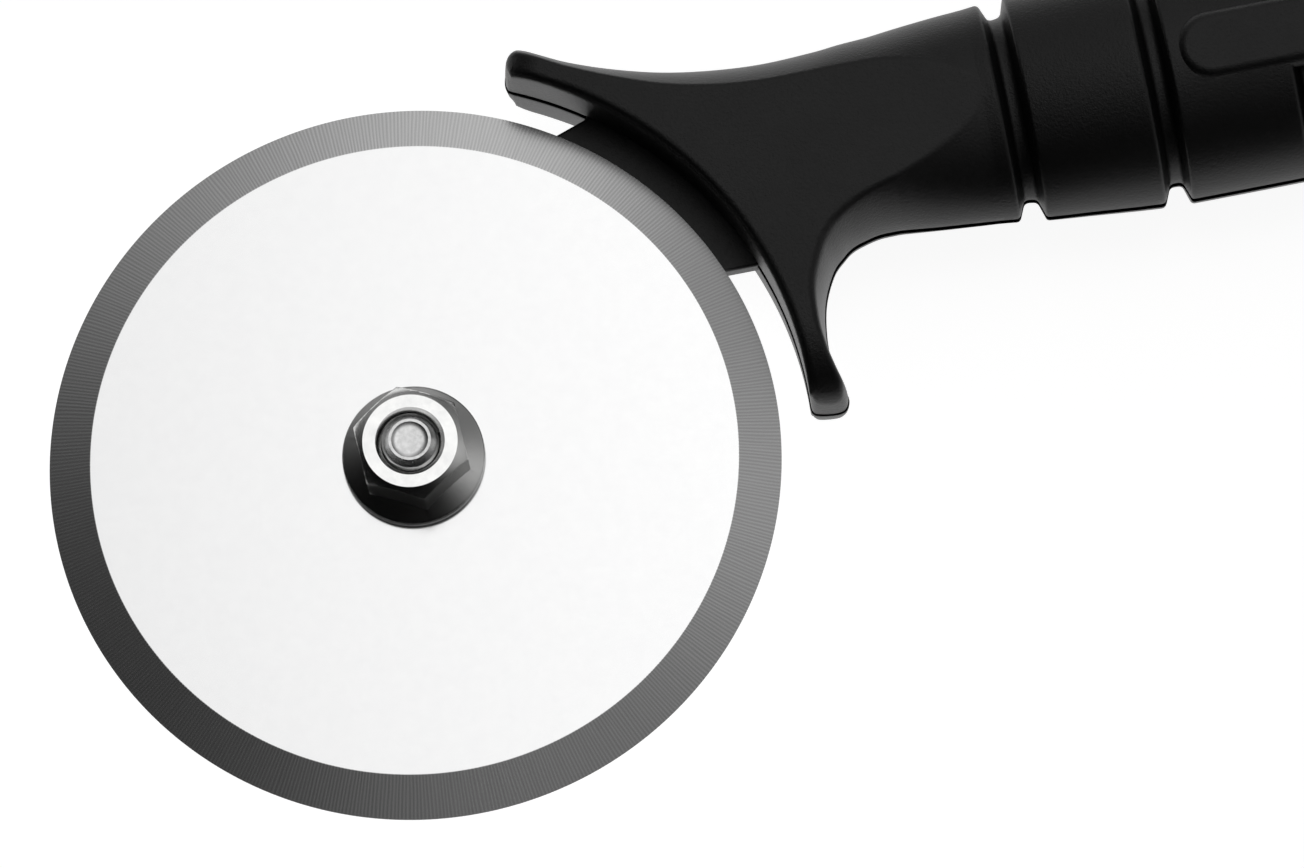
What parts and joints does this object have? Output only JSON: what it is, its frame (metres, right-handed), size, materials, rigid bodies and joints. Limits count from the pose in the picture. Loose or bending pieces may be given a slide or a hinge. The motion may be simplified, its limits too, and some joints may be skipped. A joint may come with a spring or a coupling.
{
  "type": "rotary pizza knife",
  "caption": "Rotary pizza knife: bevelled steel wheel on a bolt and flange nut, carried by the arm of a ribbed black plastic handle with a two-horned finger guard.",
  "frame": {"origin": "on the wheel's axis, at the rear face of the axle bolt's head, on which the knife rests when it lies on its back", "axes": "+X from the wheel along the handle to its butt, +Z along the wheel's axis from the bolt head to the nut, +Y from the wheel's axis towards the handle's side"},
  "size_m": [0.23, 0.0966, 0.0242],
  "materials": {
    "black_nylon": "fine-grained black moulded plastic, satin",
    "blade_steel": "faintly brushed stainless flat with a radially ground bevel",
    "nut_steel": "smooth bright steel",
    "bolt_steel": "satin steel",
    "screw_steel": "black-finished steel",
    "sleeve_bronze": "plain sintered bronze",
    "washer_nylon": "off-white plain nylon"
  },
  "bodies": {
    "handle": {"handle_front_shell": "black_nylon", "handle_back_shell": "black_nylon", "axle_bolt": "bolt_steel", "axle_sleeve": "sleeve_bronze", "rear_washer": "washer_nylon", "flange_nut": "nut_steel", "shell_screw_1": "screw_steel", "shell_screw_2": "screw_steel", "shell_screw_3": "screw_steel", "shell_screw_4": "screw_steel", "shell_screw_5": "screw_steel"},
    "wheel": {"blade": "blade_steel"}
  },
  "joints": [
    {"name": "blade_spin", "type": "hinge", "parent": "handle", "child": "wheel", "pos_m": [0, 0, 0.0128], "axis": [0, 0, 1], "continuous": true}
  ]
}
